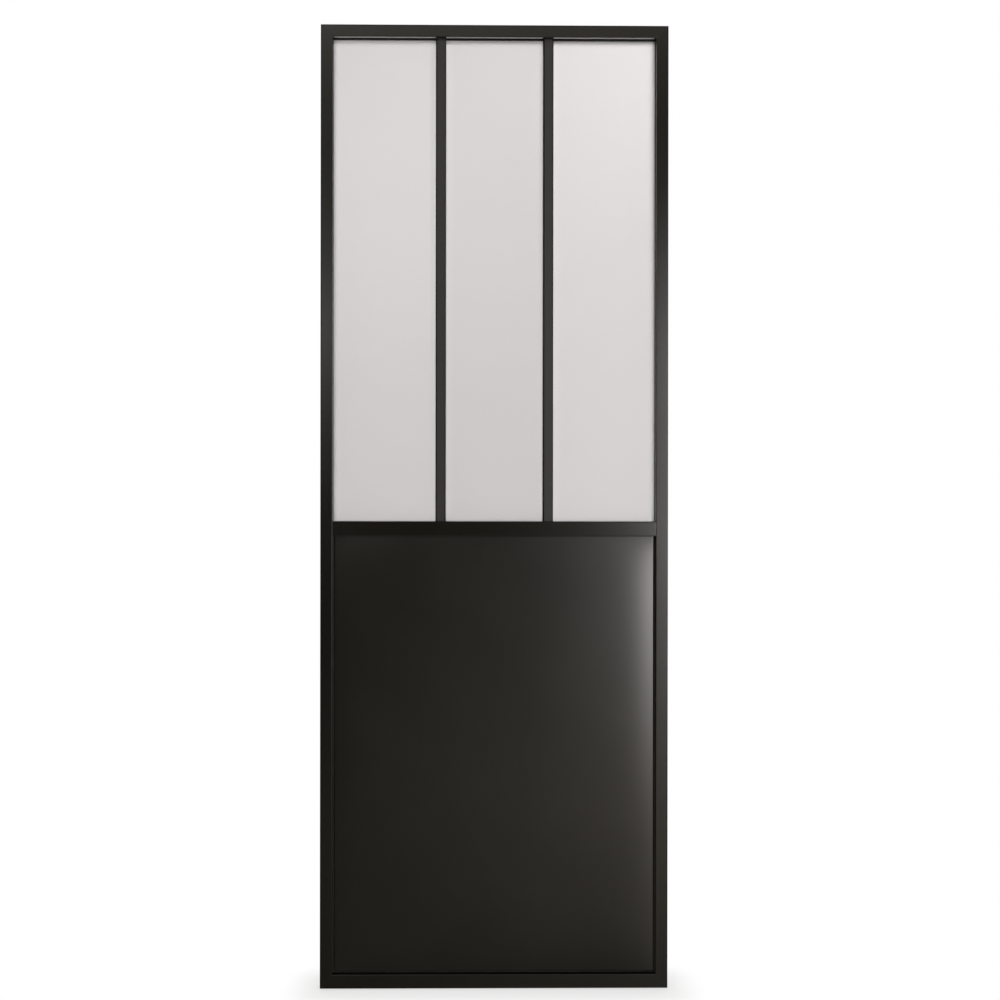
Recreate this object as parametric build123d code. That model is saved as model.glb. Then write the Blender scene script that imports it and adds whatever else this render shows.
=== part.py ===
from build123d import *
import os

# A glazed door leaf in dark coated metal: three tall panes over a sheet-metal panel.
# Millimetres. The photographed face looks towards -Y, +X is to its right, +Z is up.
# The origin is the centre of the top face, where the leaf hangs.

# Leaf
LEAF_WIDTH = 740.0
LEAF_HEIGHT = 2050.0
LEAF_THICKNESS = 40.0

# Frame sections: the outer frame is mitred at its corners, the middle rail is butted
FRAME_WIDTH = 26.0           # of the stiles and the top rail
BOTTOM_RAIL_HEIGHT = 30.0
MIDDLE_RAIL_HEIGHT = 31.0
MIDDLE_RAIL_DROP = 1056.0    # from the top face down to the middle rail's upper edge
FRAME_WALL = 1.5
LIP_DEPTH = 7.0              # lip in front of, and behind, the infill
GROOVE_DEPTH = 9.0           # how far the infill groove is let into each section
ARRIS_RADIUS = 2.2
INNER_ARRIS = 1.2            # of the edges beside the glass and the panel

# Upright glazing bars of H section
BAR_COUNT = 2
BAR_WIDTH = 21.0
BAR_WEB = 8.0
BAR_WALL = 1.5
BAR_ARRIS = 1.0

# Glass and its rubber channel
GLASS_THICKNESS = 6.0
GASKET = 3.0                 # rubber on each face and round the edge of a pane
INSET = 1.0                  # beads and rubber stay back from the sight line

# Lower panel: two folded sheet-metal trays on a board with a tongue round it
PANEL_GAP = 3.0              # shadow gap beside and below the trays
PANEL_TOP_GAP = 0.6          # the trays stand close under the middle rail
TRAY_SHEET = 1.5
TRAY_RADIUS = 2.5
TONGUE_THICKNESS = 12.0

# Holes for the two hanger bolts in the top face
HANGER_HOLE_RADIUS = 4.5
HANGER_HOLE_INSET = 90.0     # from each side of the leaf to a hole's centre

FIT = 0.2                    # clearance where one piece slides into another

# Sizes that follow from those above
HALF_WIDTH = LEAF_WIDTH / 2
HALF_THICKNESS = LEAF_THICKNESS / 2
INNER_X = HALF_WIDTH - FRAME_WIDTH
TOP_Z = -FRAME_WIDTH
BOTTOM_Z = BOTTOM_RAIL_HEIGHT - LEAF_HEIGHT
MIDDLE_TOP_Z = -MIDDLE_RAIL_DROP
MIDDLE_LOW_Z = MIDDLE_TOP_Z - MIDDLE_RAIL_HEIGHT
INFILL_HALF = HALF_THICKNESS - LIP_DEPTH
BAR_PITCH = 2 * INNER_X / (BAR_COUNT + 1)
BAR_CENTRES = [-INNER_X + BAR_PITCH * (i + 1) for i in range(BAR_COUNT)]
GLAZING_HALF = GLASS_THICKNESS / 2 + GASKET
BEAD_DEPTH = INFILL_HALF - GLAZING_HALF
PANEL_BEAD_DEPTH = INFILL_HALF - TONGUE_THICKNESS / 2


def block(x0, x1, y0, y1, z0, z1):
    """A box between two corners."""
    return Pos((x0 + x1) / 2, (y0 + y1) / 2, (z0 + z1) / 2) * Box(x1 - x0, y1 - y0, z1 - z0)


def grooved_section(width, groove_below, groove_above):
    """Cross-section of a frame member, its width along X and the leaf's thickness along Y.
    The width runs from 0, the outer or lower edge, to the given width."""
    outline = Pos(width / 2, 0) * Rectangle(width, LEAF_THICKNESS)
    low_edges = outline.vertices().group_by(Axis.X)[0]
    outline = fillet(low_edges, INNER_ARRIS if groove_below else ARRIS_RADIUS)
    high_edges = [v for v in outline.vertices() if v.X > width - FRAME_WALL]
    outline = fillet(high_edges, INNER_ARRIS if groove_above else ARRIS_RADIUS)
    groove = Rectangle(GROOVE_DEPTH, 2 * INFILL_HALF)
    if groove_above:
        outline -= Pos(width - GROOVE_DEPTH / 2, 0) * groove
    if groove_below:
        outline -= Pos(GROOVE_DEPTH / 2, 0) * groove
    hollow = offset(outline, amount=-FRAME_WALL, kind=Kind.INTERSECTION)
    return outline - hollow


def frame_member(length, width, start_cut, end_cut):
    """One side of the outer frame, mitred at both ends: it lies along X with its outer
    edge on Z = 0 and its grooved inner edge below. The cuts are the widths of the members
    that it meets at its -X and +X ends."""
    lying = Plane(origin=(-length / 2, 0, 0), x_dir=(0, 0, -1), z_dir=(1, 0, 0))
    bar = extrude(lying * grooved_section(width, False, True), amount=length)
    mitre = Polyline(
        (-length / 2, 0),
        (length / 2, 0),
        (length / 2 - end_cut, -width),
        (start_cut - length / 2, -width),
        close=True,
    )
    wedge = extrude(Plane.XZ * make_face(mitre), amount=LEAF_THICKNESS, both=True)
    return bar & wedge


def top_rail():
    rail = frame_member(LEAF_WIDTH, FRAME_WIDTH, FRAME_WIDTH, FRAME_WIDTH)
    for side in (-1, 1):
        hole = Cylinder(HANGER_HOLE_RADIUS, 4 * FRAME_WALL)
        rail -= Pos(side * (HALF_WIDTH - HANGER_HOLE_INSET), 0, 0) * hole
    return rail


def bottom_rail():
    rail = frame_member(LEAF_WIDTH, BOTTOM_RAIL_HEIGHT, FRAME_WIDTH, FRAME_WIDTH)
    return Pos(0, 0, -LEAF_HEIGHT) * Rot(0, 180, 0) * rail


def stile(side):
    """Left stile for side -1, right stile for side 1."""
    cuts = (FRAME_WIDTH, BOTTOM_RAIL_HEIGHT) if side > 0 else (BOTTOM_RAIL_HEIGHT, FRAME_WIDTH)
    upright = Rot(0, side * 90, 0) * frame_member(LEAF_HEIGHT, FRAME_WIDTH, *cuts)
    return Pos(side * HALF_WIDTH, 0, -LEAF_HEIGHT / 2) * upright


def middle_rail():
    """Grooved above for the glass and below for the panel, butted between the stiles."""
    lying = Plane(origin=(-INNER_X, 0, MIDDLE_LOW_Z), x_dir=(0, 0, 1), z_dir=(1, 0, 0))
    section = grooved_section(MIDDLE_RAIL_HEIGHT, True, True)
    return extrude(lying * section, amount=2 * INNER_X)


def glazing_bar(centre_x):
    """Hollow H section whose ends slide into the grooves of the top and middle rails."""
    depth = 2 * (INFILL_HALF - FIT)
    section = RectangleRounded(BAR_WIDTH, depth, BAR_ARRIS)
    side_groove = Rectangle((BAR_WIDTH - BAR_WEB) / 2, 2 * GLAZING_HALF)
    for side in (-1, 1):
        section -= Pos(side * (BAR_WIDTH + BAR_WEB) / 4, 0) * side_groove
    section -= offset(section, amount=-BAR_WALL, kind=Kind.INTERSECTION)
    low = MIDDLE_TOP_Z - GROOVE_DEPTH + FIT
    high = TOP_Z + GROOVE_DEPTH - FIT
    return Pos(centre_x, 0, low) * extrude(section, amount=high - low)


def pane_edges():
    """Left and right groove floors of each pane, from left to right."""
    lefts = [-INNER_X - GROOVE_DEPTH] + [x + BAR_WEB / 2 for x in BAR_CENTRES]
    rights = [x - BAR_WEB / 2 for x in BAR_CENTRES] + [INNER_X + GROOVE_DEPTH]
    return list(zip(lefts, rights))


def pane(edges):
    """Glass that stands in its rubber channel."""
    low = MIDDLE_TOP_Z - GROOVE_DEPTH + GASKET
    high = TOP_Z + GROOVE_DEPTH - GASKET
    half = GLASS_THICKNESS / 2
    return block(edges[0] + GASKET, edges[1] - GASKET, -half, half, low, high)


def pane_gasket(edges, glass):
    """Rubber channel round a pane, held back from the sight line by the inset."""
    bar_cover = (BAR_WIDTH - BAR_WEB) / 2
    left_cover = GROOVE_DEPTH if edges[0] < -INNER_X else bar_cover
    right_cover = GROOVE_DEPTH if edges[1] > INNER_X else bar_cover
    low = MIDDLE_TOP_Z - GROOVE_DEPTH
    high = TOP_Z + GROOVE_DEPTH
    channel = block(edges[0], edges[1], -GLAZING_HALF, GLAZING_HALF, low, high)
    sight = block(
        edges[0] + left_cover - INSET,
        edges[1] - right_cover + INSET,
        -LEAF_THICKNESS,
        LEAF_THICKNESS,
        MIDDLE_TOP_Z - INSET,
        TOP_Z + INSET,
    )
    return channel - sight - glass


def bead_span(side, depth):
    """Y range of a bead between a lip and what it holds: side -1 in front, 1 behind."""
    near = side * (INFILL_HALF - depth)
    far = side * INFILL_HALF
    return min(near, far), max(near, far)


def glass_side_bead(side, x_side):
    """Upright bead in a stile's groove."""
    y0, y1 = bead_span(side, BEAD_DEPTH)
    xs = sorted((x_side * (INNER_X + INSET), x_side * (INNER_X + GROOVE_DEPTH)))
    return block(xs[0], xs[1], y0, y1, MIDDLE_TOP_Z - GROOVE_DEPTH, TOP_Z + GROOVE_DEPTH)


def glass_cross_beads(side, z0, z1):
    """Level beads in a rail's groove, one a pane, between the side beads and the bars."""
    y0, y1 = bead_span(side, BEAD_DEPTH)
    reach = BAR_WIDTH / 2 + FIT
    starts = [-INNER_X - INSET + FIT] + [x + reach for x in BAR_CENTRES]
    ends = [x - reach for x in BAR_CENTRES] + [INNER_X + INSET - FIT]
    return Compound(children=[block(a, b, y0, y1, z0, z1) for a, b in zip(starts, ends)])


def panel_core():
    """Board under both trays, with a tongue round it that stands in the frame's grooves."""
    skin = PANEL_GAP + TRAY_SHEET
    top_skin = PANEL_TOP_GAP + TRAY_SHEET
    half = INFILL_HALF - TRAY_SHEET
    bite = GROOVE_DEPTH - FIT
    board = block(
        skin - INNER_X, INNER_X - skin, -half, half, BOTTOM_Z + skin, MIDDLE_LOW_Z - top_skin
    )
    tongue = block(
        -INNER_X - bite,
        INNER_X + bite,
        -TONGUE_THICKNESS / 2,
        TONGUE_THICKNESS / 2,
        BOTTOM_Z - bite,
        MIDDLE_LOW_Z + bite,
    )
    return board + tongue


def panel_tray(side, core):
    """Folded sheet over one face of the board: side -1 is the front tray."""
    x = INNER_X - PANEL_GAP
    low = BOTTOM_Z + PANEL_GAP
    high = MIDDLE_LOW_Z - PANEL_TOP_GAP
    ys = sorted((side * TONGUE_THICKNESS / 2, side * INFILL_HALF))
    tray = block(-x, x, ys[0], ys[1], low, high)
    face = tray.faces().sort_by(Axis.Y)[0 if side < 0 else -1]
    tray = fillet(face.edges(), TRAY_RADIUS)
    return tray - core


def panel_beads(side):
    """Four beads that press the tongue into the middle of the grooves."""
    y0, y1 = bead_span(side, PANEL_BEAD_DEPTH)
    floor_x = INNER_X + GROOVE_DEPTH
    edge_x = INNER_X + INSET
    low = BOTTOM_Z - GROOVE_DEPTH
    high = MIDDLE_LOW_Z + GROOVE_DEPTH
    pieces = [
        block(-floor_x, -edge_x, y0, y1, low, high),
        block(edge_x, floor_x, y0, y1, low, high),
        block(FIT - edge_x, edge_x - FIT, y0, y1, low, BOTTOM_Z - INSET),
        block(FIT - edge_x, edge_x - FIT, y0, y1, MIDDLE_LOW_Z + INSET, high),
    ]
    return Compound(children=pieces)


def build():
    """Every piece under its own name."""
    pieces = {
        "left_stile": stile(-1),
        "right_stile": stile(1),
        "top_rail": top_rail(),
        "middle_rail": middle_rail(),
        "bottom_rail": bottom_rail(),
    }
    for name, centre in zip(("left_bar", "right_bar"), BAR_CENTRES):
        pieces[name] = glazing_bar(centre)
    for name, edges in zip(("left", "middle", "right"), pane_edges()):
        glass = pane(edges)
        pieces[name + "_glass"] = glass
        pieces[name + "_gasket"] = pane_gasket(edges, glass)
    core = panel_core()
    pieces["panel_core"] = core
    for name, side in (("front", -1), ("rear", 1)):
        pieces[name + "_left_bead"] = glass_side_bead(side, -1)
        pieces[name + "_right_bead"] = glass_side_bead(side, 1)
        pieces[name + "_top_beads"] = glass_cross_beads(side, TOP_Z + INSET, TOP_Z + GROOVE_DEPTH)
        pieces[name + "_low_beads"] = glass_cross_beads(
            side, MIDDLE_TOP_Z - GROOVE_DEPTH, MIDDLE_TOP_Z - INSET
        )
        pieces[name + "_panel"] = panel_tray(side, core)
        pieces[name + "_panel_beads"] = panel_beads(side)
    return pieces


os.makedirs("parts", exist_ok=True)
for node, shape in build().items():
    export_step(shape, "parts/" + node + ".step")
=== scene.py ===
import math

import bmesh
import bpy
import numpy as np
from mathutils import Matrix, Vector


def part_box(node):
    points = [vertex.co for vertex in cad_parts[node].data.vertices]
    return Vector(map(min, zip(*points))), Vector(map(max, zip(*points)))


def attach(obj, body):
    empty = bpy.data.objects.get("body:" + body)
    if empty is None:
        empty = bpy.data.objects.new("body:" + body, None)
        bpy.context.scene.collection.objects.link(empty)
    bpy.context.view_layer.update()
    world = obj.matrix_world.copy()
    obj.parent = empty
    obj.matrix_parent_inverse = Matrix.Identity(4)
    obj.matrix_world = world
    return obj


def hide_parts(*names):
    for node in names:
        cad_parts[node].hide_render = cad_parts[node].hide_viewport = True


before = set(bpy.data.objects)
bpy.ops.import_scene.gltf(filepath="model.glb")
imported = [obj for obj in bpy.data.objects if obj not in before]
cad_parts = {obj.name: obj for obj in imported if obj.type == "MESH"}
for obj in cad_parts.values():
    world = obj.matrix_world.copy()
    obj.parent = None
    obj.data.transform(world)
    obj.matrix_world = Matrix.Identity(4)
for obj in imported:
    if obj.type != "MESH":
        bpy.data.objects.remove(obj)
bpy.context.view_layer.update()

# OUTER FRAME
# Two stiles and two rails of extruded aluminium, with a 26 mm groove on their inner side. The bottom
# rail is a little wider. They are mitred, welded, ground flush and powder coated a warm black.

MM = 0.001
LEAF_LOW, LEAF_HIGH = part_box("left_stile")[0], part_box("right_stile")[1]
LEAF_HEIGHT = LEAF_HIGH[2] - LEAF_LOW[2]
HALF_WIDTH = LEAF_HIGH[0]
HALF_THICKNESS = LEAF_HIGH[1]
FRAME_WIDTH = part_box("left_stile")[1][0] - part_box("left_stile")[0][0]
INNER_X = HALF_WIDTH - FRAME_WIDTH
INFILL_HALF = -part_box("front_left_bead")[0][1]
GROOVE_DEPTH = 9.0 * MM
WALL = 1.5 * MM
ARRIS = 2.2 * MM
INNER_ARRIS = 1.2 * MM
BOTTOM_LOW, BOTTOM_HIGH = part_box("bottom_rail")
BOTTOM_WIDTH = BOTTOM_HIGH[2] - BOTTOM_LOW[2]
SHARP_CORNER = 0.3 * MM
ARC_STEPS = 8
REST = 0.5 * MM              # how far beside an arc the flat's first line of points stands
SHARP_EDGE = math.radians(32)
JOINT_EASE = 0.12 * MM       # how far an end draws in, which leaves a hairline at a joint


class Shade:
    """A socket in a tree of nodes. Sums and products of sockets and numbers add Math nodes to it."""

    def __init__(self, tree, node=None, output=0):
        self.tree = tree
        self.node = node
        self.socket = node.outputs[output] if node else None

    def add(self, kind, settings=None, values=None, output=0):
        """Adds a node: its settings first, then a number or a link for each named input."""
        node = self.tree.nodes.new(kind)
        for name, setting in (settings or {}).items():
            setattr(node, name, setting)
        for name, value in (values or {}).items():
            if isinstance(value, Shade):
                self.tree.links.new(value.socket, node.inputs[name])
            else:
                node.inputs[name].default_value = value
        return Shade(self.tree, node, output)

    def out(self, output):
        """Another output of the same node."""
        return Shade(self.tree, self.node, output)

    def math(self, operation, *terms):
        """A Math node's result for sockets or numbers."""
        return self.add("ShaderNodeMath", {"operation": operation}, dict(enumerate(terms)))

    def blend(self, factor, low, high):
        """Mixes two colours by a factor."""
        inputs = {0: factor, 6: low, 7: high}
        return self.add("ShaderNodeMix", {"data_type": "RGBA"}, inputs, 2)

    def ramp(self, low, high):
        """0 below low, 1 above high, smooth between."""
        settings = {"interpolation_type": "SMOOTHSTEP"}
        return self.add("ShaderNodeMapRange", settings, {0: self, 1: low, 2: high, 3: 0.0, 4: 1.0})

    def __add__(self, other):
        return self.math("ADD", self, other)

    def __sub__(self, other):
        return self.math("SUBTRACT", self, other)

    def __rsub__(self, other):
        return self.math("SUBTRACT", other, self)

    def __mul__(self, other):
        return self.math("MULTIPLY", self, other)

    def __abs__(self):
        return self.math("ABSOLUTE", self)

    __radd__ = __add__
    __rmul__ = __mul__


def finish_of(name):
    """A new material, its Principled node's inputs, and a Shade to start expressions from."""
    material = bpy.data.materials.new(name)
    material.use_nodes = True
    principled = material.node_tree.nodes["Principled BSDF"]
    return material, principled.inputs, Shade(material.node_tree)


def connect(value, socket):
    """Links a Shade to a node's input."""
    value.tree.links.new(value.socket, socket)


def mix_into_surface(material, factor, other):
    """Mixes another shader into a material's Principled one by a factor."""
    nodes = material.node_tree.nodes
    own = Shade(material.node_tree, nodes["Principled BSDF"], "BSDF")
    mixed = own.add("ShaderNodeMixShader", None, {0: factor, 1: own, 2: other})
    connect(mixed, nodes["Material Output"].inputs["Surface"])


COAT_TONES = (0.92, 1.08)    # the deepest and the palest share of a coat's colour
ORANGE_PEEL = 0.004 * MM
GROUND_BAND = (3.0 * MM, 9.0 * MM)    # distances from a mitre over which its dressed band fades
# Painted shade: the dull near black that arrises are mixed toward, which hides the highlights they would
# catch
ARRIS_SHADE_COLOUR = (0.003, 0.003, 0.003, 1.0)
ARRIS_SHADE_SHARE = 0.8             # how much of a fully shaded arris shows the painted shade


def coat(name, colour, roughness, drawn, ground=0.0, gloss=0.5):
    """Powder coat on aluminium. A soft orange peel covers it, and faint lines left by the die run along
    the piece. Its arrises are mixed toward a dull near black, painted shade that hides their highlights,
    and the lips' edges carry a thick glossy film. Where ground is more than 0, a band beside each mitre
    was dressed with a disc."""
    material, principled, start = finish_of(name)
    place = start.add("ShaderNodeTexCoord", output="Object")
    arris = start.add("ShaderNodeAttribute", {"attribute_name": "arris"}, output="Fac")
    cloud = start.add("ShaderNodeTexNoise", None, {"Vector": place, "Scale": 7.0, "Detail": 3.0})
    speck = start.add("ShaderNodeTexNoise", None, {"Vector": place, "Scale": 2600.0, "Detail": 1.0})
    deep, pale = (tuple(share * part for part in colour) for share in COAT_TONES)
    tone = start.blend(cloud.ramp(0.3, 0.7), (*deep, 1.0), (*pale, 1.0))
    connect(tone, principled["Base Color"])
    along = start.add("ShaderNodeMapping", None, {"Vector": place, "Scale": drawn})
    lines = start.add("ShaderNodeTexNoise", None, {"Vector": along, "Scale": 1.0, "Detail": 2.0})
    orange = start.add("ShaderNodeTexNoise", None, {"Vector": place, "Scale": 420.0, "Detail": 2.0})
    dull = roughness + 0.02 * (cloud - 0.5) + 0.06 * (speck - 0.5)
    if ground:
        across = start.add("ShaderNodeSeparateXYZ", None, {0: place})
        side = HALF_WIDTH - abs(across.out("X"))
        low_end = (LEAF_HEIGHT + across.out("Z")) * (FRAME_WIDTH / BOTTOM_WIDTH)
        end = start.math("MINIMUM", 0.0 - across.out("Z"), low_end)
        band = 1.0 - abs(side - end).ramp(*GROUND_BAND)
        dull = dull + ground * band * (0.4 + orange)
    connect(dull, principled["Roughness"])
    height = ORANGE_PEEL * (orange + 0.35 * lines + 0.12 * speck)
    bump = start.add("ShaderNodeBump", None, {"Height": height, "Distance": 1.0, "Strength": 1.0})
    connect(bump, principled["Normal"])
    lip = start.add("ShaderNodeAttribute", {"attribute_name": "lip"}, output="Fac")
    connect(lip, principled["Coat Weight"])
    principled["Coat Roughness"].default_value = 0.12
    principled["Coat IOR"].default_value = 2.0
    principled["Specular IOR Level"].default_value = gloss
    principled["IOR"].default_value = 1.5
    # Painted shade: each arris is mixed toward a dull near black by its share
    arris_shade_surface = start.add("ShaderNodeBsdfDiffuse", None, {"Color": ARRIS_SHADE_COLOUR})
    mix_into_surface(material, arris * ARRIS_SHADE_SHARE, arris_shade_surface)
    return material


def unit(vectors):
    """Each row divided by its length."""
    return vectors / np.linalg.norm(vectors, axis=-1, keepdims=True)


def outline(corners, radii, arris_shade=1.0):
    """Closed outline with rounded corners: its (n, 2) points, and how much painted shade each arc point
    gets.
    Where two sides leave a corner along unit vectors a and b at an angle f, the arc of radius r starts
    and ends r / tan(f / 2) along them, and its centre is r / sin(f / 2) along their bisector. Its points
    are the two end spokes mixed by sin((1 - t) w) / sin(w) and sin(t w) / sin(w), with w = pi - f.
    One more point beside each end keeps the flat next to it flat."""
    corners = np.array(corners, float)
    radii = np.array(radii, float)[:, None]
    back = unit(np.roll(corners, 1, 0) - corners)
    on = unit(np.roll(corners, -1, 0) - corners)
    half = np.arccos((back * on).sum(1))[:, None] / 2
    reach = radii / np.tan(half)
    centre = corners + unit(back + on) * radii / np.sin(half)
    turn = (math.pi - 2 * half)[:, None]
    t = np.linspace(0, 1, ARC_STEPS + 1)[None, :, None]
    first = (corners + back * reach - centre)[:, None]
    last = (corners + on * reach - centre)[:, None]
    arc = centre[:, None] + (np.sin((1 - t) * turn) * first + np.sin(t * turn) * last) / np.sin(turn)
    lead = (corners + back * (reach + REST))[:, None]
    trail = (corners + on * (reach + REST))[:, None]
    points = np.concatenate([lead, arc, trail], 1)
    bend = np.zeros(points.shape[:2])
    bend[:, 1:-1] = np.broadcast_to(arris_shade, len(corners))[:, None]
    return points.reshape(-1, 2), bend.reshape(-1)


def shell(name, points, bend=None, lips=None, wrap=True, caps=True):
    """A mesh from an (n, m, 3) grid of points: n runs round the section, closed where wrap is true, and
    m runs along the piece. Caps close its two ends. Bend and lips are each point's values of the
    attributes arris and lip."""
    n, m = points.shape[:2]
    index = np.arange(n * m).reshape(n, m)
    ring = np.concatenate([index, index[:1]]) if wrap else index
    quads = np.stack([ring[:-1, :-1], ring[1:, :-1], ring[1:, 1:], ring[:-1, 1:]], -1)
    faces = quads.reshape(-1, 4).tolist()
    if caps:
        faces.append(index[::-1, 0].tolist())
        faces.append(index[:, -1].tolist())
    mesh = bpy.data.meshes.new(name)
    mesh.from_pydata(points.reshape(-1, 3), [], faces)
    for label, values in (("arris", bend), ("lip", lips)):
        attribute = mesh.attributes.new(label, "FLOAT", "POINT")
        values = np.zeros(n) if values is None else values
        values = np.repeat(values, m).astype(np.float32)
        attribute.data.foreach_set("value", values)
    return mesh


def lip_faces(corner_count, lip_corners):
    """1 on the flat between each of the lip corners and the next corner of a section, 0 elsewhere."""
    per_corner = ARC_STEPS + 3
    lips = np.zeros(corner_count * per_corner)
    for corner in lip_corners:
        end = (corner + 1) * per_corner
        lips[end - 2:end + 2] = 1.0
    return lips


def face_outward(mesh):
    """Turns the faces of a closed mesh outward."""
    shape = bmesh.new()
    shape.from_mesh(mesh)
    bmesh.ops.recalc_face_normals(shape, faces=shape.faces)
    shape.to_mesh(mesh)
    shape.free()


def piece(name, mesh, material, nodes, face_out=True):
    """Puts a mesh into the scene as a piece of the leaf that stands for CAD nodes."""
    if face_out:
        face_outward(mesh)
    mesh.shade_smooth()
    mesh.set_sharp_from_angle(angle=SHARP_EDGE)
    thing = bpy.data.objects.new(name, mesh)
    bpy.context.scene.collection.objects.link(thing)
    mesh.materials.append(material)
    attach(thing, "root")
    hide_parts(*nodes)
    return thing


def carried(section, origin, across, deep, along, start, end, slopes=(0.0, 0.0)):
    """A section's points carried in a straight line. A point (p, q) of the section lies at
    origin + p across + q deep + s along, where s runs from start + p times the first slope to end - p
    times the second, so slopes of 1 are mitres of 45 degrees. At both ends the section draws in by the
    joint's ease. One more section near each end keeps the faces flat."""
    following = np.roll(section, -1, 0)
    tangent = unit(following - np.roll(section, 1, 0))
    turns = np.sum(section[:, 0] * following[:, 1] - following[:, 0] * section[:, 1])
    outward = np.stack([tangent[:, 1], -tangent[:, 0]], 1) * np.sign(turns)
    drawn_in = section - outward * JOINT_EASE
    sections = np.stack([drawn_in, section, section, section, section, drawn_in], 1)
    p = sections[..., 0]
    q = sections[..., 1]
    near = np.array([0.0, 2 * JOINT_EASE, 2 * JOINT_EASE + REST])
    inset = np.concatenate([near, -near[::-1]])
    lean = np.repeat([slopes[0], -slopes[1]], 3)
    ends = np.repeat([start, end], 3)
    s = ends + inset + lean * p
    return np.array(origin) + p[..., None] * across + q[..., None] * deep + s[..., None] * along


X_AXIS = np.array([1.0, 0.0, 0.0])
Y_AXIS = np.array([0.0, 1.0, 0.0])
Z_AXIS = np.array([0.0, 0.0, 1.0])


def groove_corners(width, inset=0.0):
    """Corners of the frame's section, from the outer edge at 0 to the inner edge at its width, or of the
    hollow inside it where the inset is the wall."""
    face = HALF_THICKNESS - inset
    lip = INFILL_HALF + inset
    floor = width - GROOVE_DEPTH - inset
    edge = width - inset
    return [
        (inset, -face), (edge, -face), (edge, -lip), (floor, -lip),
        (floor, lip), (edge, lip), (edge, face), (inset, face),
    ]


GROOVE_RADII = [ARRIS, INNER_ARRIS] + [SHARP_CORNER] * 4 + [INNER_ARRIS, ARRIS]
GROOVE_ARRIS_SHADE = [1.0] + [0.1] * 6 + [1.0]    # painted shade, full on the two outer arrises and faint on the rest
COAT_COLOUR = (0.0060, 0.0052, 0.0036)
UPRIGHT_LINES = (900.0, 900.0, 1.5)    # how fine the die's lines are along each axis
LEVEL_LINES = (1.5, 900.0, 900.0)

frame_section, frame_bend = outline(groove_corners(FRAME_WIDTH), GROOVE_RADII, GROOVE_ARRIS_SHADE)
stile_coat = coat("stile coat", COAT_COLOUR, 0.155, UPRIGHT_LINES, ground=0.03)
rail_coat = coat("rail coat", COAT_COLOUR, 0.19, LEVEL_LINES, ground=0.03)

for name, side in (("left_stile", -1), ("right_stile", 1)):
    corner = (side * HALF_WIDTH, 0.0, LEAF_LOW[2])
    cuts = (BOTTOM_WIDTH / FRAME_WIDTH, 1.0)    # the low mitre is steeper, as the bottom rail is wider
    points = carried(frame_section, corner, -side * X_AXIS, Y_AXIS, Z_AXIS, 0.0, LEAF_HEIGHT, cuts)
    mesh = shell(name, points, frame_bend)
    piece(name + "_tube", mesh, stile_coat, [name])

corner = (-HALF_WIDTH, 0.0, LEAF_LOW[2])
bottom_section, bottom_bend = outline(groove_corners(BOTTOM_WIDTH), GROOVE_RADII, GROOVE_ARRIS_SHADE)
cuts = (FRAME_WIDTH / BOTTOM_WIDTH, FRAME_WIDTH / BOTTOM_WIDTH)
points = carried(bottom_section, corner, Z_AXIS, Y_AXIS, X_AXIS, 0.0, 2 * HALF_WIDTH, cuts)
bottom_mesh = shell("bottom_rail", points, bottom_bend)
piece("bottom_rail_tube", bottom_mesh, rail_coat, ["bottom_rail"])


def bored(mesh, tools):
    """The mesh with closed tool meshes taken away from it."""
    thing = bpy.data.objects.new("work", mesh)
    bpy.context.scene.collection.objects.link(thing)
    helpers = [bpy.data.objects.new("tool", tool) for tool in tools]
    for helper in helpers:
        bpy.context.scene.collection.objects.link(helper)
        cut = thing.modifiers.new("cut", "BOOLEAN")
        cut.operation = "DIFFERENCE"
        cut.solver = "EXACT"
        cut.object = helper
    done = bpy.data.meshes.new_from_object(thing.evaluated_get(bpy.context.evaluated_depsgraph_get()))
    for used in (thing, *helpers):
        bpy.data.objects.remove(used)
    return done


HOLE_RADIUS = 4.5 * MM
HOLE_INSET = 90.0 * MM       # from each side of the leaf to the centre of a hanger bolt's hole
HOLE_X = HALF_WIDTH - HOLE_INSET
INNER_EDGES = (1, 5)         # corners of the grooved section that its two inner edges start from


def peg(centre_x, radius, low, high, steps=48):
    """A closed upright cylinder: its points are radius (cos a, sin a) round its axis."""
    a = np.linspace(0, 2 * math.pi, steps, endpoint=False)
    circle = np.stack([centre_x + radius * np.cos(a), radius * np.sin(a)], 1)
    low_ring = np.concatenate([circle, np.full((steps, 1), low)], 1)
    high_ring = np.concatenate([circle, np.full((steps, 1), high)], 1)
    return shell("peg", np.stack([low_ring, high_ring], 1))


corner = (-HALF_WIDTH, 0.0, LEAF_HIGH[2])
cuts = (1.0, 1.0)
points = carried(frame_section, corner, -Z_AXIS, Y_AXIS, X_AXIS, 0.0, 2 * HALF_WIDTH, cuts)
hollow_section, hollow_bend = outline(groove_corners(FRAME_WIDTH, WALL), [SHARP_CORNER] * 8)
inner_ends = (2 * WALL, 2 * HALF_WIDTH - 2 * WALL)
inside = carried(hollow_section, corner, -Z_AXIS, Y_AXIS, X_AXIS, *inner_ends, cuts)
top_tools = [shell("hollow", inside, hollow_bend)]
top_tools += [peg(x, HOLE_RADIUS, -3 * WALL, 3 * WALL) for x in (-HOLE_X, HOLE_X)]
top_mesh = shell("top_rail", points, frame_bend, lip_faces(len(GROOVE_RADII), INNER_EDGES))
for closed_mesh in (*top_tools, top_mesh):
    face_outward(closed_mesh)
top_mesh = bored(top_mesh, top_tools)
piece("top_rail_tube", top_mesh, rail_coat, ["top_rail"], face_out=False)

# MIDDLE RAIL
# The same kind of section, grooved on both sides, cut square and butted between the stiles.
# Its upper groove takes the panes and its lower one the panel.

MIDDLE_LOW, MIDDLE_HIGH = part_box("middle_rail")
MIDDLE_WIDTH = MIDDLE_HIGH[2] - MIDDLE_LOW[2]

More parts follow.
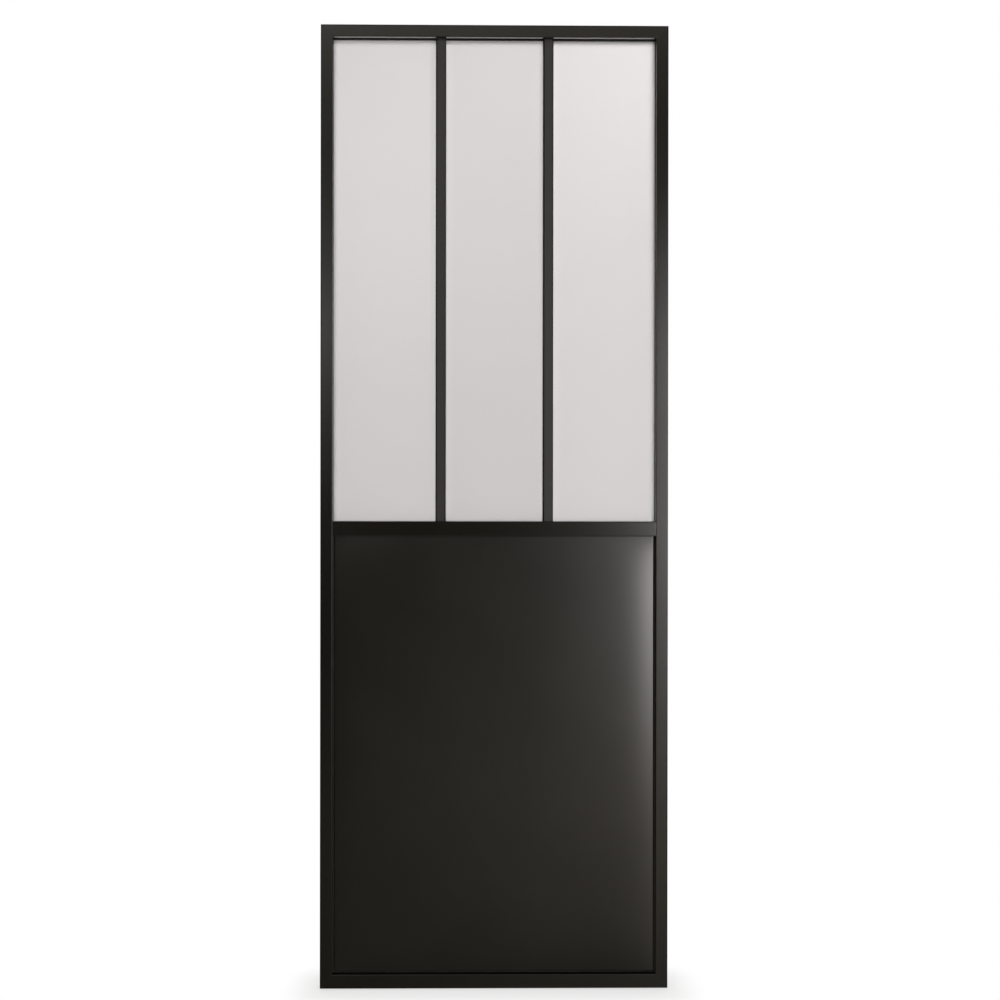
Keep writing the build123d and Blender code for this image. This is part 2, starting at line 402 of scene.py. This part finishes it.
upper_half = groove_corners(MIDDLE_WIDTH)
lower_half = [(MIDDLE_WIDTH - p, -q) for p, q in upper_half]
middle_corners = upper_half[1:7] + lower_half[1:7]
# Painted shade on the arrises: full on the front and rear ones along the top, faint on the rest
MIDDLE_ARRIS_SHADE = [1.0] + [0.1] * 4 + [1.0] + [0.1] * 6
middle_section, middle_bend = outline(middle_corners, GROOVE_RADII[1:7] * 2, MIDDLE_ARRIS_SHADE)
corner = (-INNER_X, 0.0, MIDDLE_LOW[2])
points = carried(middle_section, corner, Z_AXIS, Y_AXIS, X_AXIS, 0.0, 2 * INNER_X)
MIDDLE_COLOUR = (0.0048, 0.0042, 0.0029)
middle_coat = coat("middle rail coat", MIDDLE_COLOUR, 0.17, LEVEL_LINES)
middle_mesh = shell("middle_rail", points, middle_bend)
piece("middle_rail_tube", middle_mesh, middle_coat, ["middle_rail"])

# LOWER PANEL
# Two trays folded from 1.5 mm sheet, with rounded edges, bonded to both faces of a fibre board.
# The board's tongue stands in the frame's grooves and carries the trays, with a shadow gap of 3 mm
# beside and below them and of 0.6 mm above.

TRAY_LOW, TRAY_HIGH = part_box("front_panel")
TRAY_ROUND = 2.5 * MM
TRAY_WALL_REST = 0.4 * MM    # how far behind the rounding the side's first line of points stands
TRAY_TOP_REACH = 0.6 * MM    # the top edge turns back more sharply, close under the middle rail
TRAY_TOP_RISE = 0.45 * MM
TRAY_CROWN = 1.9 * MM
TRAY_CROWN_POWER = 11.8
SHEET = 1.5 * MM
TRAY_CENTRE_Z = (TRAY_LOW[2] + TRAY_HIGH[2]) / 2
TRAY_HALF_X = (TRAY_HIGH[0] - TRAY_LOW[0]) / 2
TRAY_HALF_Z = (TRAY_HIGH[2] - TRAY_LOW[2]) / 2
TRAY_DEPTH = TRAY_HIGH[1] - TRAY_LOW[1]


def tray(name, side, columns=64, rows=88, arc=8):
    """A folded tray as a surface of two parameters, counted from its middle: a to the side and b up.
    Inside its flat face a point stays at (a, b), raised by the crown, (1 - |a|^n)(1 - |b|^n) of full
    height. Past the flat, s is the larger of how far a and b have gone and g the angle that their ratio
    gives, 45 degrees times min / max. The point goes R sin(s / R) outward at that angle and
    R (1 - cos(s / R)) back, and past a quarter turn straight back, which is the tray's side. At the top
    the way outward is shortened to the top edge's reach."""
    quarter = TRAY_ROUND * math.pi / 2
    wall = TRAY_DEPTH - TRAY_ROUND
    round_edge = np.linspace(0, quarter, arc + 1)[1:]
    past = np.concatenate([round_edge, [quarter + TRAY_WALL_REST, quarter + wall]])

    def line(low, high, count):
        inner = np.linspace(low + REST, high - REST, count)
        return np.concatenate([low - past[::-1], [low], inner, [high], high + past])

    a_flat = TRAY_HALF_X - TRAY_ROUND
    low_flat = TRAY_HALF_Z - TRAY_ROUND
    top_flat = TRAY_HALF_Z + TRAY_TOP_RISE - TRAY_TOP_REACH
    a, b = np.meshgrid(line(-a_flat, a_flat, columns), line(-low_flat, top_flat, rows), indexing="ij")
    over_a = np.maximum(np.abs(a) - a_flat, 0)
    over_b = np.maximum(np.maximum(b - top_flat, -low_flat - b), 0)
    s = np.maximum(over_a, over_b)
    least = np.minimum(over_a, over_b)
    angle = math.pi / 4 * least / np.maximum(s, 1e-9)
    major, minor = np.cos(angle), np.sin(angle)
    toward_a = np.where(over_a >= over_b, major, minor)
    toward_b = np.where(over_a >= over_b, minor, major)
    toward_b = np.where(b > 0, toward_b * TRAY_TOP_REACH / TRAY_ROUND, -toward_b)
    bent = np.minimum(s, quarter)
    out = TRAY_ROUND * np.sin(bent / TRAY_ROUND)
    back = TRAY_ROUND * (1 - np.cos(bent / TRAY_ROUND)) + (s - bent)
    x = np.clip(a, -a_flat, a_flat) + np.sign(a) * out * toward_a
    z = np.clip(b, -low_flat, top_flat) + out * toward_b
    fall_a = np.minimum(np.abs(a) / a_flat, 1) ** TRAY_CROWN_POWER
    fall_b = np.minimum(np.abs(b) / np.where(b > 0, top_flat, low_flat), 1) ** TRAY_CROWN_POWER
    crown = TRAY_CROWN * (1 - fall_a) * (1 - fall_b)
    y = side * (INFILL_HALF + crown - back)
    points = np.stack([x, y, z + TRAY_CENTRE_Z], -1)
    return shell(name, points, wrap=False, caps=False)


def folded(name, side, material):
    """The tray as a piece, with the sheet's thickness behind its face."""
    mesh = tray(name, side)
    if side > 0:
        mesh.flip_normals()
    thing = piece(name + "_tray", mesh, material, [name], face_out=False)
    sheet = thing.modifiers.new("sheet", "SOLIDIFY")
    sheet.thickness = SHEET
    sheet.offset = -1.0


PANEL_COLOUR = (0.0082, 0.0074, 0.0054)
SHEET_WAVES = (3.0, 3.0, 3.0)    # rolled sheet has broad waves and no lines from a die
panel_coat = coat("panel coat", PANEL_COLOUR, 0.21, SHEET_WAVES)
folded("front_panel", -1, panel_coat)
folded("rear_panel", 1, panel_coat)


def fibre_board(name):
    """Dense fibre board stained near black: short matted fibres, duller than the coat."""
    material, principled, start = finish_of(name)
    place = start.add("ShaderNodeTexCoord", output="Object")
    stretched = start.add("ShaderNodeMapping", None, {"Vector": place, "Scale": (400.0, 1600.0, 400.0)})
    fibre = start.add("ShaderNodeTexNoise", None, {"Vector": stretched, "Scale": 1.0, "Detail": 4.0})
    tone = start.blend(fibre, (0.018, 0.016, 0.013, 1.0), (0.036, 0.032, 0.028, 1.0))
    connect(tone, principled["Base Color"])
    connect(0.8 + 0.15 * fibre, principled["Roughness"])
    bump = start.add("ShaderNodeBump", None, {"Height": fibre * (0.05 * MM), "Distance": 1.0})
    connect(bump, principled["Normal"])
    return material


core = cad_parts["panel_core"]
core.material_slots[0].material = fibre_board("stained board")

# GLAZING BARS
# Two upright bars of H section between the top and middle rails. Their flanges stand 7 mm behind the
# frame's face, and the panes slide into the grooves on their sides.

BAR_WEB = 8.0 * MM
BAR_ARRIS = 1.8 * MM
BAR_INNER_ARRIS = 0.4 * MM
GLAZING_HALF = 6.0 * MM      # half of the groove that takes a pane and its rubber


def bar_corners(half_width, half_depth):
    """Corners of the H, from the front flange round to the rear one and back."""
    web = BAR_WEB / 2
    return [
        (-half_width, -half_depth), (half_width, -half_depth), (half_width, -GLAZING_HALF),
        (web, -GLAZING_HALF), (web, GLAZING_HALF), (half_width, GLAZING_HALF),
        (half_width, half_depth), (-half_width, half_depth), (-half_width, GLAZING_HALF),
        (-web, GLAZING_HALF), (-web, -GLAZING_HALF), (-half_width, -GLAZING_HALF),
    ]


FLANGE_RADII = [BAR_ARRIS, BAR_ARRIS, BAR_INNER_ARRIS]
BAR_RADII = (FLANGE_RADII + [SHARP_CORNER, SHARP_CORNER, BAR_INNER_ARRIS]) * 2
BAR_COLOUR = (0.0032, 0.0026, 0.0018)
bar_coat = coat("bar coat", BAR_COLOUR, 0.50, UPRIGHT_LINES)
for name in ("left_bar", "right_bar"):
    low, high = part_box(name)
    section, bend = outline(bar_corners((high[0] - low[0]) / 2, high[1]), BAR_RADII)
    middle = ((high[0] + low[0]) / 2, 0.0, low[2])
    points = carried(section, middle, X_AXIS, Y_AXIS, Z_AXIS, 0.0, high[2] - low[2])
    piece(name + "_section", shell(name, points, bend), bar_coat, [name])

# PANES AND THEIR RUBBER
# Three panes of 6 mm glass with one face etched to an even satin, each standing in a black rubber
# channel that closes the groove in front of it and behind it.


def ring(outer, inner, profile):
    """A profile carried round a rectangle with mitred corners. Outer and inner are (x0, x1, z0, z1). A
    profile point (s, y) lies at depth y on the rectangle that is s of the way from outer to inner."""
    s = profile[:, 0, None]
    rect = np.array(outer) * (1 - s) + np.array(inner) * s
    x = rect[:, [0, 1, 1, 0]]
    z = rect[:, [2, 2, 3, 3]]
    y = np.broadcast_to(profile[:, 1, None], x.shape)
    return np.stack([x, y, z], -1)


def ring_mesh(name, points, closed):
    """A mesh of that ring, its section closed, or else capped by the first and last rectangles."""
    n = len(points)
    index = np.arange(n * 4).reshape(n, 4)
    rows = np.concatenate([index, index[:1]]) if closed else index
    round_rows = np.concatenate([rows, rows[:, :1]], 1)
    quads = np.stack(
        [round_rows[:-1, :-1], round_rows[1:, :-1], round_rows[1:, 1:], round_rows[:-1, 1:]], -1
    )
    faces = quads.reshape(-1, 4).tolist()
    if not closed:
        faces += [index[0].tolist(), index[-1, ::-1].tolist()]
    mesh = bpy.data.meshes.new(name)
    mesh.from_pydata(points.reshape(-1, 3), [], faces)
    return mesh


PANE_COLOURS = ((0.653, 0.637, 0.640), (0.685, 0.668, 0.671))
# Painted light and shade: each pane's colour is scaled, the right one lighter and the middle one darker,
# as light falls on them
PANE_LIGHT_TONES = {"left": 1.0, "middle": 0.975, "right": 1.04}
# Painted light: how far a pane's colour is raised toward each sight edge, where the frame's recess
# shades it
PANE_EDGE_REACH = 5.5 * MM
PANE_SIDE_PAINTED_LIGHT = 0.33
PANE_TOP_PAINTED_LIGHT = 0.90
PANE_FOOT_PAINTED_LIGHT = 0.25
PANE_PAINTED_LIGHT_MOST = 0.30


def satin_glass(name, tone, sight):
    """Etched glass: it passes light softly scattered, and its etched face has a fine tooth. Toward each
    sight edge its colour is raised by exp(-distance / reach), most of all at the top, up to a limit:
    painted light that cancels the shade of the frame's recess there."""
    material, principled, start = finish_of(name)
    place = start.add("ShaderNodeTexCoord", output="Object")
    part = start.add("ShaderNodeSeparateXYZ", None, {0: place})
    x0, x1, z0, z1 = sight
    across = (x1 - x0) / 2 - abs(part.out("X") - (x0 + x1) / 2)
    height = part.out("Z")
    edges = ((across, PANE_SIDE_PAINTED_LIGHT), (z1 - height, PANE_TOP_PAINTED_LIGHT), (height - z0, PANE_FOOT_PAINTED_LIGHT))
    # Painted light: the colour is raised near each sight edge, most near the top
    edge_light = 0.0
    for distance, share in edges:
        distance = start.math("MAXIMUM", distance, 0.0)
        edge_light = edge_light + share * start.math("EXPONENT", distance * (-1 / PANE_EDGE_REACH))
    edge_light = start.math("MINIMUM", edge_light, PANE_PAINTED_LIGHT_MOST)
    cloud = start.add("ShaderNodeTexNoise", None, {"Vector": place, "Scale": 3.0, "Detail": 2.0})
    tooth = start.add("ShaderNodeTexNoise", None, {"Vector": place, "Scale": 1800.0, "Detail": 2.0})
    low, high = (tuple(tone * part for part in colour) for colour in PANE_COLOURS)
    body = start.blend(cloud, (*low, 1.0), (*high, 1.0))
    scaled = start.add("ShaderNodeVectorMath", {"operation": "SCALE"}, {0: body, 3: 1.0 + edge_light})
    connect(scaled, principled["Base Color"])
    connect(0.42 + 0.06 * (tooth - 0.5), principled["Roughness"])
    bump = start.add("ShaderNodeBump", None, {"Height": tooth * (0.004 * MM), "Distance": 1.0})
    connect(bump, principled["Normal"])
    principled["Transmission Weight"].default_value = 0.65
    principled["IOR"].default_value = 1.5
    return material


def rubber(name):
    """Black glazing rubber: matt, faintly dusty, with the fine lines of its die."""
    material, principled, start = finish_of(name)
    place = start.add("ShaderNodeTexCoord", output="Object")
    dust = start.add("ShaderNodeTexNoise", None, {"Vector": place, "Scale": 60.0, "Detail": 4.0})
    skin = start.add("ShaderNodeTexNoise", None, {"Vector": place, "Scale": 2200.0, "Detail": 1.0})
    tone = start.blend(dust.ramp(0.45, 0.8), (0.008, 0.008, 0.008, 1.0), (0.022, 0.021, 0.020, 1.0))
    connect(tone, principled["Base Color"])
    connect(0.62 + 0.2 * (dust - 0.5), principled["Roughness"])
    bump = start.add("ShaderNodeBump", None, {"Height": skin * (0.01 * MM), "Distance": 1.0})
    connect(bump, principled["Normal"])
    return material


GLASS_EDGE = 0.6 * MM        # how far a pane's edges are eased
RUBBER_INSET = 1.0 * MM      # how far the rubber stays back below and on the left of a pane
RUBBER_SHOWS = 0.9 * MM      # how far it stands beyond the beads at the top and on the right
RUBBER_CHAMFER = 0.6 * MM
CHAMFER_START = 0.93         # shares of the way from the rubber's outer edge to its inner one
CHANNEL_FLOOR = 0.34
rubber_finish = rubber("glazing rubber")
SIGHT_LOW = MIDDLE_HIGH[2]
SIGHT_HIGH = -FRAME_WIDTH
BAR_SIDES = [(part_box(bar)[0][0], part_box(bar)[1][0]) for bar in ("left_bar", "right_bar")]
SIGHTS = {
    "left": (-INNER_X, BAR_SIDES[0][0]),
    "middle": (BAR_SIDES[0][1], BAR_SIDES[1][0]),
    "right": (BAR_SIDES[1][1], INNER_X),
}
for name, (sight_left, sight_right) in SIGHTS.items():
    low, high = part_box(name + "_glass")
    outer = (low[0], high[0], low[2], high[2])
    inner = (outer[0] + GLASS_EDGE, outer[1] - GLASS_EDGE, outer[2] + GLASS_EDGE, outer[3] - GLASS_EDGE)
    half = high[1]
    eased = half - GLASS_EDGE
    profile = np.array([(1.0, -half), (0.0, -eased), (0.0, eased), (1.0, half)])
    mesh = ring_mesh(name + "_glass", ring(outer, inner, profile), closed=False)
    sight = (sight_left, sight_right, SIGHT_LOW, SIGHT_HIGH)
    pane_finish = satin_glass(name + " satin pane", PANE_LIGHT_TONES[name], sight)
    piece(name + "_pane", mesh, pane_finish, [name + "_glass"])

    low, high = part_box(name + "_gasket")
    outer = (low[0], high[0], low[2], high[2])
    inner = (
        sight_left - RUBBER_INSET, sight_right - RUBBER_SHOWS,
        SIGHT_LOW - RUBBER_INSET, SIGHT_HIGH - RUBBER_SHOWS,
    )
    channel = high[1]
    nose = channel - RUBBER_CHAMFER
    profile = np.array([
        (0.0, -channel), (CHAMFER_START, -channel), (1.0, -nose), (1.0, -half),
        (CHANNEL_FLOOR, -half), (CHANNEL_FLOOR, half),
        (1.0, half), (1.0, nose), (CHAMFER_START, channel), (0.0, channel),
    ])
    mesh = ring_mesh(name + "_gasket", ring(outer, inner, profile), closed=True)
    piece(name + "_rubber", mesh, rubber_finish, [name + "_gasket"])

# BEADS
# Clip-in strips that fill the groove between its lips and the rubber or the panel's tongue, cut square
# and finished in a dull black coat. Those of the panes end flush with the frame's edge.

BEAD_ARRIS = 0.6 * MM
BEAD_INSET = 1.0 * MM        # how far the solids' beads stay back from the frame's edge
BEAD_WIDTH = GROOVE_DEPTH - BEAD_INSET
BEAD_FIT = 0.2 * MM
BEAD_COLOUR = (0.0050, 0.0045, 0.0040)
bead_coats = {
    "upright": coat("upright bead coat", BEAD_COLOUR, 0.80, UPRIGHT_LINES, gloss=0.1),
    "level": coat("level bead coat", BEAD_COLOUR, 0.80, LEVEL_LINES, gloss=0.1),
}


def strip(low, high):
    """A rectangular strip with rounded edges along its longer side: its points, how much painted shade
    they get on their arrises, and whether it stands upright."""
    size = high - low
    middle = (low + high) / 2
    upright = size[2] > size[0]
    across = X_AXIS if upright else Z_AXIS
    along = Z_AXIS if upright else X_AXIS
    half_across = (size @ across) / 2
    half_deep = size[1] / 2
    corners = [
        (-half_across, -half_deep), (half_across, -half_deep),
        (half_across, half_deep), (-half_across, half_deep),
    ]
    section, bend = outline(corners, [BEAD_ARRIS] * 4)
    half_long = (size @ along) / 2
    return carried(section, middle, across, Y_AXIS, along, -half_long, half_long), bend, upright


def bead(node, number, low, high):
    """One strip as a piece, which stands for its share of a CAD node."""
    points, bend, upright = strip(low, high)
    finish = bead_coats["upright" if upright else "level"]
    piece(f"{node}_{number}", shell(node, points, bend), finish, [node])


for face in ("front", "rear"):
    low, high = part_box(face + "_left_bead")
    bead(face + "_left_bead", 1, np.array(low), np.array(high) + BEAD_INSET * X_AXIS)
    low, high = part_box(face + "_right_bead")
    bead(face + "_right_bead", 1, np.array(low) - BEAD_INSET * X_AXIS, np.array(high))
    for kind, below, above in (("_top_beads", BEAD_INSET, 0.0), ("_low_beads", 0.0, BEAD_INSET)):
        low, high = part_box(face + kind)
        beside_bars = [x for left, right in BAR_SIDES for x in (left - BEAD_FIT, right + BEAD_FIT)]
        ends = [low[0] + BEAD_INSET, *beside_bars, high[0] - BEAD_INSET]
        for number in (1, 2, 3):
            x0, x1 = ends[2 * number - 2:2 * number]
            z0, z1 = low[2] - below, high[2] + above
            bead(face + kind, number, np.array([x0, low[1], z0]), np.array([x1, high[1], z1]))
    low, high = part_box(face + "_panel_beads")
    within = (low[0] + BEAD_WIDTH + BEAD_FIT, high[0] - BEAD_WIDTH - BEAD_FIT)
    strips = (
        (low[0], low[0] + BEAD_WIDTH, low[2], high[2]),
        (*within, low[2], low[2] + BEAD_WIDTH),
        (*within, high[2] - BEAD_WIDTH, high[2]),
        (high[0] - BEAD_WIDTH, high[0], low[2], high[2]),
    )
    for number, (x0, x1, z0, z1) in enumerate(strips, 1):
        bead(face + "_panel_beads", number, np.array([x0, low[1], z0]), np.array([x1, high[1], z1]))

# STUDIO
# The leaf hangs just clear of a pale floor in a white room. Soft windows of light, set by direction in
# the world, stand in front of it to the right, left, above and below. Three dim lamps add to them.

FLOOR_GAP = 4.0 * MM
FLOOR_RADIUS = 6.0
PAINTED_SHADOW_WHITE = 0.66          # painted shadow: the share of white mixed in right at the leaf's foot
PAINTED_SHADOW_REACH = 0.09          # how far from the foot the painted shadow ends


def floor_mesh(name, radius, steps=96):
    """A flat disc: points at radius (cos a, sin a)."""
    a = np.linspace(0, 2 * math.pi, steps, endpoint=False)
    rim = np.stack([radius * np.cos(a), radius * np.sin(a), np.full(steps, LEAF_LOW[2] - FLOOR_GAP)], 1)
    mesh = bpy.data.meshes.new(name)
    mesh.from_pydata(rim, [], [list(range(steps))])
    return mesh


def pale_floor(name):
    """White floor. Seen straight on, in gloss or through glass it is as white as the background, but
    close to the leaf's foot less white is mixed in: a painted shadow that fades with the distance from
    the foot, under which the leaf's real shadow shows."""
    material, principled, start = finish_of(name)
    place = start.add("ShaderNodeTexCoord", output="Object")
    part = start.add("ShaderNodeSeparateXYZ", None, {0: place})
    beside = start.math("MAXIMUM", abs(part.out("X")) - HALF_WIDTH, 0.0)
    away = start.math("MAXIMUM", abs(part.out("Y")) - HALF_THICKNESS, 0.0)
    distance = start.math("SQRT", beside * beside + away * away)
    # Painted shadow: less white is mixed in near the foot, so the floor greys there even where no real
    # shadow falls
    white_share = PAINTED_SHADOW_WHITE + (1.0 - PAINTED_SHADOW_WHITE) * distance.ramp(0.0, PAINTED_SHADOW_REACH)
    principled["Base Color"].default_value = (0.90, 0.90, 0.90, 1.0)
    principled["Roughness"].default_value = 0.9
    light = start.add("ShaderNodeLightPath")
    seen = start.math("MAXIMUM", light.out("Is Camera Ray"), light.out("Is Transmission Ray"))
    seen = start.math("MAXIMUM", seen, light.out("Is Glossy Ray"))
    white = start.add("ShaderNodeEmission", None, {"Color": (1.0, 1.0, 1.0, 1.0), "Strength": 1.0})
    mix_into_surface(material, seen * white_share, white)
    return material


ground = bpy.data.objects.new("floor", floor_mesh("floor", FLOOR_RADIUS))
bpy.context.scene.collection.objects.link(ground)
ground.data.materials.append(pale_floor("pale floor"))
ground.visible_glossy = False    # gloss shows the world's own floor light instead


def lamp(name, place, aim, size, power):
    """A square soft lamp of a size in metres and a power in watts, turned to face the aim point. It
    lights the matt part of a finish, and shows in no gloss or glass."""
    data = bpy.data.lights.new(name, "AREA")
    data.size = size
    data.energy = power
    thing = bpy.data.objects.new(name, data)
    bpy.context.scene.collection.objects.link(thing)
    thing.location = place
    x, y, z = np.array(aim) - place
    thing.rotation_euler = (math.atan2(math.hypot(x, y), -z), 0.0, math.atan2(-x, y))
    thing.visible_camera = False
    thing.visible_glossy = False
    thing.visible_transmission = False


for name, place, aim, size, power in (
    ("corner fill", (0.72, -0.65, 0.32), (0.30, 0.0, -0.15), 0.35, 10.5),
    ("upper fill", (-0.45, -0.7, -0.26), (-0.3, 0.0, -0.26), 0.6, 2.7),
    ("low fill", (0.0, -0.95, -1.95), (0.0, 0.0, -1.85), 0.8, 4.1),
):
    lamp(name, np.array(place), aim, size, power)

world = bpy.data.worlds.new("studio")
bpy.context.scene.world = world
world.use_nodes = True
sky = Shade(world.node_tree)
direction = sky.add("ShaderNodeTexCoord", output="Generated")
parts = sky.add("ShaderNodeSeparateXYZ", None, {0: direction})
sideways, forward, upward = parts.out("X"), parts.out("Y"), parts.out("Z")
DEGREES = 180.0 / math.pi
azimuth = DEGREES * sky.math("ARCTAN2", sideways, 0.0 - forward)
elevation = DEGREES * sky.math("ARCSINE", upward)


def between(angle, rise, fall):
    """1 between two soft edges and 0 beyond them. Each edge is the pair of values it changes over."""
    return angle.ramp(*rise) * (1.0 - angle.ramp(*fall))


def glow(place, spread):
    """A round glow, exp(-(a^2 + e^2)), where a and e are how far the azimuth and the elevation are from
    its place, each divided by its spread. All are in degrees."""
    a = (azimuth - place[0]) * (1 / spread[0])
    e = (elevation - place[1]) * (1 / spread[1])
    return sky.math("EXPONENT", 0.0 - (a * a + e * e))


# Right softbox: a tall window of light with soft edges, from 11 to 30 degrees right of straight ahead.
BOX_LIGHT = 10.1
box_wide = between(azimuth, (9.96, 12.62), (26.0, 34.0))
box_high = between(elevation, (-17.6, -1.37), (7.54, 17.3))

# Right low light: a broad glow below and beyond the softbox.
LOW_GLOW_LIGHT = 1.15
LOW_GLOW_END = (38.0, 48.0)
low_glow = glow((26.0, -16.6), (20.0, 7.6)) * (1.0 - azimuth.ramp(*LOW_GLOW_END))

# Left lamp: a small round glow with a brighter core.
GLOW_LIGHT = 1.93
CORE_LIGHT = 1.1
left_light = GLOW_LIGHT * glow((-13.9, 9.75), (4.41, 7.5))
left_light = left_light + CORE_LIGHT * glow((-9.6, 9.3), (2.6, 2.2))

# Ceiling light: a band above the leaf's top, brighter on the left.
CEILING_LIGHT = 1.52
CEILING_SLANT = 2.72         # how fast it dims toward the right
CEILING_LEVELS_OFF = -0.38   # the sideways direction left of which it gets no brighter
CEILING_LEFT_END = (-0.62, -0.42)
rightward = sky.math("MAXIMUM", sideways, CEILING_LEVELS_OFF)
ceiling = sky.math("MAXIMUM", 0.0, 1.0 - CEILING_SLANT * rightward)
ceiling = ceiling * between(elevation, (18.4, 34.4), (46.0, 62.0)) * sideways.ramp(*CEILING_LEFT_END)

# Light that the floor throws back: a dim one up to the horizon, and a bright one close by.
FLOOR_LIGHT = 0.095
FLOOR_LIGHT_END = (-19.1, -1.66)
NEAR_FLOOR_LIGHT = 0.9
NEAR_FLOOR_END = (-64.0, -42.0)
low_light = FLOOR_LIGHT * (1.0 - elevation.ramp(*FLOOR_LIGHT_END))
low_light = low_light + NEAR_FLOOR_LIGHT * (1.0 - elevation.ramp(*NEAR_FLOOR_END))

# Soft light from both sides, dimmer toward the floor.
SIDE_LIGHT = 0.5
SIDE_START = (0.72, 0.94)
SIDE_RISE = (-25.0, 25.0)
side_light = SIDE_LIGHT * abs(sideways).ramp(*SIDE_START) * elevation.ramp(*SIDE_RISE)

# The tints of the dim, the bright and the high light, and the white room behind the leaf. The camera
# and the glass see white all round, and gloss sees white behind the leaf.
DIM = (1.08, 1.0, 0.84)
BRIGHT = (1.035, 1.0, 0.975)
HIGH = (1.03, 1.0, 0.95)
WHITE = (1.0, 1.0, 1.0)
ROOM_LIGHT = 0.80
ROOM_START = (0.0, 0.35)
GLOSSY_ROOM_START = (0.45, 0.85)
in_front = 1.0 - forward.ramp(*ROOM_START)
dim_level = (low_light + LOW_GLOW_LIGHT * low_glow) * in_front
high_level = (CEILING_LIGHT * ceiling + side_light) * in_front
bright_level = (BOX_LIGHT * box_wide * box_high + left_light) * in_front
room_level = ROOM_LIGHT * (1.0 - in_front)
path = sky.add("ShaderNodeLightPath")
seen = sky.math("MAXIMUM", path.out("Is Camera Ray"), path.out("Is Transmission Ray"))
glossy = path.out("Is Glossy Ray")
room_level = room_level + (forward.ramp(*GLOSSY_ROOM_START) - room_level) * glossy


def tinted(level, colour):
    """A colour times a level."""
    return sky.add("ShaderNodeVectorMath", {"operation": "SCALE"}, {0: colour, 3: level})


def together(first, second):
    """The sum of two colours."""
    return sky.add("ShaderNodeVectorMath", {"operation": "ADD"}, {0: first, 1: second})


lit = together(tinted(dim_level, DIM), tinted(bright_level, BRIGHT))
lit = together(lit, tinted(high_level, HIGH))
lit = together(lit, tinted(room_level, WHITE))
lit = sky.blend(seen, lit, (*WHITE, 1.0))
background = world.node_tree.nodes["Background"]
connect(lit, background.inputs["Color"])
background.inputs["Strength"].default_value = 1.0

# Camera: square on, 2.2 m in front of the leaf and just above the middle of its height.
camera = bpy.data.objects.new("camera", bpy.data.cameras.new("camera"))
bpy.context.scene.collection.objects.link(camera)
CAMERA_PLACE = (-0.0064, -2.2, -1.0092)
CAMERA_YAW = math.radians(0.482)
CAMERA_PITCH = math.radians(-0.033)
CAMERA_ROLL = math.radians(-0.07)
SENSOR_WIDTH = 36.0          # in millimetres, as the lens is
LENS = 36.9
camera.location = CAMERA_PLACE
camera.rotation_mode = "XYZ"
camera.rotation_euler = (math.pi / 2 + CAMERA_PITCH, CAMERA_ROLL, -CAMERA_YAW)
camera.data.sensor_width = SENSOR_WIDTH
camera.data.lens = LENS
camera.data.dof.use_dof = False
bpy.context.scene.camera = camera
bpy.context.scene.view_settings.view_transform = "Standard"
